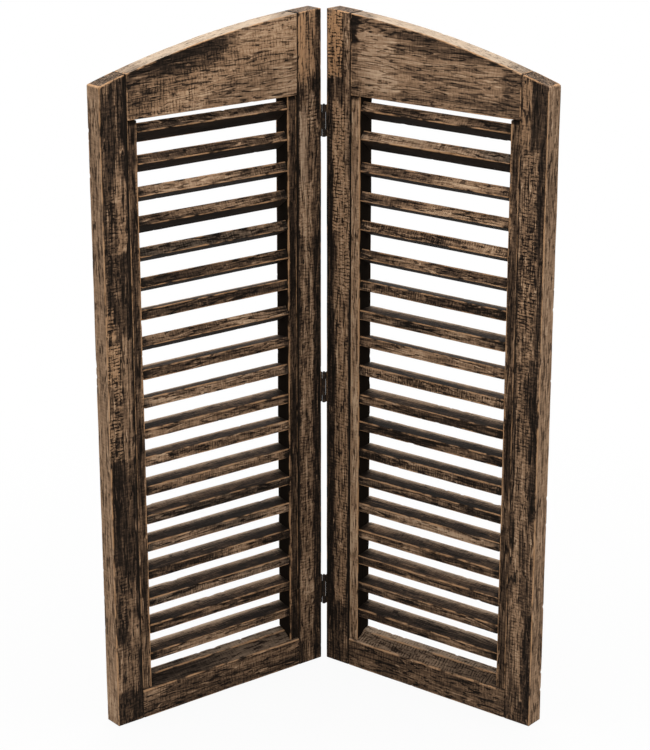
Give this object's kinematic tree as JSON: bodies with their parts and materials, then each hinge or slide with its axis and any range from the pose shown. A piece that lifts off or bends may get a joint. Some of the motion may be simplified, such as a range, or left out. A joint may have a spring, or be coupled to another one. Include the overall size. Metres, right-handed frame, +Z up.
{
  "type": "louvred shutters",
  "caption": "Pair of arched wooden louvre shutters, hinged edge to edge, with slats that turn on end pins, in a dark stain rubbed through to bare wood",
  "frame": {"origin": "middle of the standing pair's box, on the floor", "axes": "+Z up, +Y from the front, where the leaves open towards the viewer, to the hinge side at the back, +X to the viewer's right"},
  "size_m": [0.6272, 0.2542, 0.9999],
  "materials": {
    "stile_wood": "dark stain rubbed through to tan wood along arrises and in patches",
    "rail_wood": "dark stain rubbed back over the face, grain along the rail",
    "cheek_wood": "near-black stain with a worn tan arris",
    "slat_wood": "dark stain, smooth upper faces, rubbed edges",
    "hinge_metal": "blackened steel, slightly rubbed"
  },
  "bodies": {
    "left_leaf": {"left_outer_stile": "stile_wood", "left_inner_stile": "stile_wood", "left_top_rail": "rail_wood", "left_bottom_rail": "rail_wood", "left_outer_cheek": "cheek_wood", "left_inner_cheek": "cheek_wood", "left_hinge_plate_low": "hinge_metal", "left_hinge_plate_middle": "hinge_metal", "left_hinge_plate_high": "hinge_metal", "left_hinge_screws": "hinge_metal", "hinge_pins": "hinge_metal"},
    "right_leaf": {"right_outer_stile": "stile_wood", "right_inner_stile": "stile_wood", "right_top_rail": "rail_wood", "right_bottom_rail": "rail_wood", "right_outer_cheek": "cheek_wood", "right_inner_cheek": "cheek_wood", "right_hinge_plate_low": "hinge_metal", "right_hinge_plate_middle": "hinge_metal", "right_hinge_plate_high": "hinge_metal", "right_hinge_screws": "hinge_metal"},
    "left_slat_01": {"left_slat_01": "slat_wood"},
    "left_slat_02": {"left_slat_02": "slat_wood"},
    "left_slat_03": {"left_slat_03": "slat_wood"},
    "left_slat_04": {"left_slat_04": "slat_wood"},
    "left_slat_05": {"left_slat_05": "slat_wood"},
    "left_slat_06": {"left_slat_06": "slat_wood"},
    "left_slat_07": {"left_slat_07": "slat_wood"},
    "left_slat_08": {"left_slat_08": "slat_wood"},
    "left_slat_09": {"left_slat_09": "slat_wood"},
    "left_slat_10": {"left_slat_10": "slat_wood"},
    "left_slat_11": {"left_slat_11": "slat_wood"},
    "left_slat_12": {"left_slat_12": "slat_wood"},
    "left_slat_13": {"left_slat_13": "slat_wood"},
    "left_slat_14": {"left_slat_14": "slat_wood"},
    "left_slat_15": {"left_slat_15": "slat_wood"},
    "left_slat_16": {"left_slat_16": "slat_wood"},
    "left_slat_17": {"left_slat_17": "slat_wood"},
    "left_slat_18": {"left_slat_18": "slat_wood"},
    "left_slat_19": {"left_slat_19": "slat_wood"},
    "right_slat_01": {"right_slat_01": "slat_wood"},
    "right_slat_02": {"right_slat_02": "slat_wood"},
    "right_slat_03": {"right_slat_03": "slat_wood"},
    "right_slat_04": {"right_slat_04": "slat_wood"},
    "right_slat_05": {"right_slat_05": "slat_wood"},
    "right_slat_06": {"right_slat_06": "slat_wood"},
    "right_slat_07": {"right_slat_07": "slat_wood"},
    "right_slat_08": {"right_slat_08": "slat_wood"},
    "right_slat_09": {"right_slat_09": "slat_wood"},
    "right_slat_10": {"right_slat_10": "slat_wood"},
    "right_slat_11": {"right_slat_11": "slat_wood"},
    "right_slat_12": {"right_slat_12": "slat_wood"},
    "right_slat_13": {"right_slat_13": "slat_wood"},
    "right_slat_14": {"right_slat_14": "slat_wood"},
    "right_slat_15": {"right_slat_15": "slat_wood"},
    "right_slat_16": {"right_slat_16": "slat_wood"},
    "right_slat_17": {"right_slat_17": "slat_wood"},
    "right_slat_18": {"right_slat_18": "slat_wood"},
    "right_slat_19": {"right_slat_19": "slat_wood"}
  },
  "joints": [
    {"name": "leaf_fold", "type": "hinge", "parent": "left_leaf", "child": "right_leaf", "pos_m": [0, 0.10247, 0.44], "axis": [0, 0, 1], "range_deg": [-103, 77]},
    {"name": "left_slat_01_tilt", "type": "hinge", "parent": "left_leaf", "child": "left_slat_01", "pos_m": [-0.15926, 0.00109, 0.85967], "axis": [-0.7826, -0.6225, 0], "range_deg": [-117, 33]},
    {"name": "left_slat_02_tilt", "type": "hinge", "parent": "left_leaf", "child": "left_slat_02", "pos_m": [-0.15926, 0.00109, 0.81716], "axis": [-0.7826, -0.6225, 0], "range_deg": [-111, 39]},
    {"name": "left_slat_03_tilt", "type": "hinge", "parent": "left_leaf", "child": "left_slat_03", "pos_m": [-0.15926, 0.00109, 0.77464], "axis": [-0.7826, -0.6225, 0], "range_deg": [-103, 47]},
    {"name": "left_slat_04_tilt", "type": "hinge", "parent": "left_leaf", "child": "left_slat_04", "pos_m": [-0.15926, 0.00109, 0.73212], "axis": [-0.7826, -0.6225, 0], "range_deg": [-112, 38]},
    {"name": "left_slat_05_tilt", "type": "hinge", "parent": "left_leaf", "child": "left_slat_05", "pos_m": [-0.15926, 0.00109, 0.6896], "axis": [-0.7826, -0.6225, 0], "range_deg": [-103, 47]},
    {"name": "left_slat_06_tilt", "type": "hinge", "parent": "left_leaf", "child": "left_slat_06", "pos_m": [-0.15926, 0.00109, 0.64708], "axis": [-0.7826, -0.6225, 0], "range_deg": [-102, 48]},
    {"name": "left_slat_07_tilt", "type": "hinge", "parent": "left_leaf", "child": "left_slat_07", "pos_m": [-0.15926, 0.00109, 0.60456], "axis": [-0.7826, -0.6225, 0], "range_deg": [-88, 62]},
    {"name": "left_slat_08_tilt", "type": "hinge", "parent": "left_leaf", "child": "left_slat_08", "pos_m": [-0.15926, 0.00109, 0.56204], "axis": [-0.7826, -0.6225, 0], "range_deg": [-106, 44]},
    {"name": "left_slat_09_tilt", "type": "hinge", "parent": "left_leaf", "child": "left_slat_09", "pos_m": [-0.15926, 0.00109, 0.51952], "axis": [-0.7826, -0.6225, 0], "range_deg": [-82, 68]},
    {"name": "left_slat_10_tilt", "type": "hinge", "parent": "left_leaf", "child": "left_slat_10", "pos_m": [-0.15926, 0.00109, 0.477], "axis": [-0.7826, -0.6225, 0], "range_deg": [-86, 64]},
    {"name": "left_slat_11_tilt", "type": "hinge", "parent": "left_leaf", "child": "left_slat_11", "pos_m": [-0.15926, 0.00109, 0.43448], "axis": [-0.7826, -0.6225, 0], "range_deg": [-72, 78]},
    {"name": "left_slat_12_tilt", "type": "hinge", "parent": "left_leaf", "child": "left_slat_12", "pos_m": [-0.15926, 0.00109, 0.39196], "axis": [-0.7826, -0.6225, 0], "range_deg": [-77, 73]},
    {"name": "left_slat_13_tilt", "type": "hinge", "parent": "left_leaf", "child": "left_slat_13", "pos_m": [-0.15926, 0.00109, 0.34944], "axis": [-0.7826, -0.6225, 0], "range_deg": [-71, 79]},
    {"name": "left_slat_14_tilt", "type": "hinge", "parent": "left_leaf", "child": "left_slat_14", "pos_m": [-0.15926, 0.00109, 0.30692], "axis": [-0.7826, -0.6225, 0], "range_deg": [-66, 84]},
    {"name": "left_slat_15_tilt", "type": "hinge", "parent": "left_leaf", "child": "left_slat_15", "pos_m": [-0.15926, 0.00109, 0.2644], "axis": [-0.7826, -0.6225, 0], "range_deg": [-69, 81]},
    {"name": "left_slat_16_tilt", "type": "hinge", "parent": "left_leaf", "child": "left_slat_16", "pos_m": [-0.15926, 0.00109, 0.22188], "axis": [-0.7826, -0.6225, 0], "range_deg": [-68, 82]},
    {"name": "left_slat_17_tilt", "type": "hinge", "parent": "left_leaf", "child": "left_slat_17", "pos_m": [-0.15926, 0.00109, 0.17936], "axis": [-0.7826, -0.6225, 0], "range_deg": [-66, 84]},
    {"name": "left_slat_18_tilt", "type": "hinge", "parent": "left_leaf", "child": "left_slat_18", "pos_m": [-0.15926, 0.00109, 0.13684], "axis": [-0.7826, -0.6225, 0], "range_deg": [-70, 80]},
    {"name": "left_slat_19_tilt", "type": "hinge", "parent": "left_leaf", "child": "left_slat_19", "pos_m": [-0.15926, 0.00109, 0.09433], "axis": [-0.7826, -0.6225, 0], "range_deg": [-66, 84]},
    {"name": "right_slat_01_tilt", "type": "hinge", "parent": "right_leaf", "child": "right_slat_01", "pos_m": [0.15926, 0.00109, 0.85967], "axis": [-0.7826, 0.6225, 0], "range_deg": [-110, 40]},
    {"name": "right_slat_02_tilt", "type": "hinge", "parent": "right_leaf", "child": "right_slat_02", "pos_m": [0.15926, 0.00109, 0.81716], "axis": [-0.7826, 0.6225, 0], "range_deg": [-115, 35]},
    {"name": "right_slat_03_tilt", "type": "hinge", "parent": "right_leaf", "child": "right_slat_03", "pos_m": [0.15926, 0.00109, 0.77464], "axis": [-0.7826, 0.6225, 0], "range_deg": [-100, 50]},
    {"name": "right_slat_04_tilt", "type": "hinge", "parent": "right_leaf", "child": "right_slat_04", "pos_m": [0.15926, 0.00109, 0.73212], "axis": [-0.7826, 0.6225, 0], "range_deg": [-100, 50]},
    {"name": "right_slat_05_tilt", "type": "hinge", "parent": "right_leaf", "child": "right_slat_05", "pos_m": [0.15926, 0.00109, 0.6896], "axis": [-0.7826, 0.6225, 0], "range_deg": [-101, 49]},
    {"name": "right_slat_06_tilt", "type": "hinge", "parent": "right_leaf", "child": "right_slat_06", "pos_m": [0.15926, 0.00109, 0.64708], "axis": [-0.7826, 0.6225, 0], "range_deg": [-102, 48]},
    {"name": "right_slat_07_tilt", "type": "hinge", "parent": "right_leaf", "child": "right_slat_07", "pos_m": [0.15926, 0.00109, 0.60456], "axis": [-0.7826, 0.6225, 0], "range_deg": [-84, 66]},
    {"name": "right_slat_08_tilt", "type": "hinge", "parent": "right_leaf", "child": "right_slat_08", "pos_m": [0.15926, 0.00109, 0.56204], "axis": [-0.7826, 0.6225, 0], "range_deg": [-74, 76]},
    {"name": "right_slat_09_tilt", "type": "hinge", "parent": "right_leaf", "child": "right_slat_09", "pos_m": [0.15926, 0.00109, 0.51952], "axis": [-0.7826, 0.6225, 0], "range_deg": [-86, 64]},
    {"name": "right_slat_10_tilt", "type": "hinge", "parent": "right_leaf", "child": "right_slat_10", "pos_m": [0.15926, 0.00109, 0.477], "axis": [-0.7826, 0.6225, 0], "range_deg": [-79, 71]},
    {"name": "right_slat_11_tilt", "type": "hinge", "parent": "right_leaf", "child": "right_slat_11", "pos_m": [0.15926, 0.00109, 0.43448], "axis": [-0.7826, 0.6225, 0], "range_deg": [-70, 80]},
    {"name": "right_slat_12_tilt", "type": "hinge", "parent": "right_leaf", "child": "right_slat_12", "pos_m": [0.15926, 0.00109, 0.39196], "axis": [-0.7826, 0.6225, 0], "range_deg": [-74, 76]},
    {"name": "right_slat_13_tilt", "type": "hinge", "parent": "right_leaf", "child": "right_slat_13", "pos_m": [0.15926, 0.00109, 0.34944], "axis": [-0.7826, 0.6225, 0], "range_deg": [-74, 76]},
    {"name": "right_slat_14_tilt", "type": "hinge", "parent": "right_leaf", "child": "right_slat_14", "pos_m": [0.15926, 0.00109, 0.30692], "axis": [-0.7826, 0.6225, 0], "range_deg": [-70, 80]},
    {"name": "right_slat_15_tilt", "type": "hinge", "parent": "right_leaf", "child": "right_slat_15", "pos_m": [0.15926, 0.00109, 0.2644], "axis": [-0.7826, 0.6225, 0], "range_deg": [-70, 80]},
    {"name": "right_slat_16_tilt", "type": "hinge", "parent": "right_leaf", "child": "right_slat_16", "pos_m": [0.15926, 0.00109, 0.22188], "axis": [-0.7826, 0.6225, 0], "range_deg": [-68, 82]},
    {"name": "right_slat_17_tilt", "type": "hinge", "parent": "right_leaf", "child": "right_slat_17", "pos_m": [0.15926, 0.00109, 0.17936], "axis": [-0.7826, 0.6225, 0], "range_deg": [-69, 81]},
    {"name": "right_slat_18_tilt", "type": "hinge", "parent": "right_leaf", "child": "right_slat_18", "pos_m": [0.15926, 0.00109, 0.13684], "axis": [-0.7826, 0.6225, 0], "range_deg": [-68, 82]},
    {"name": "right_slat_19_tilt", "type": "hinge", "parent": "right_leaf", "child": "right_slat_19", "pos_m": [0.15926, 0.00109, 0.09433], "axis": [-0.7826, 0.6225, 0], "range_deg": [-63, 87]}
  ]
}
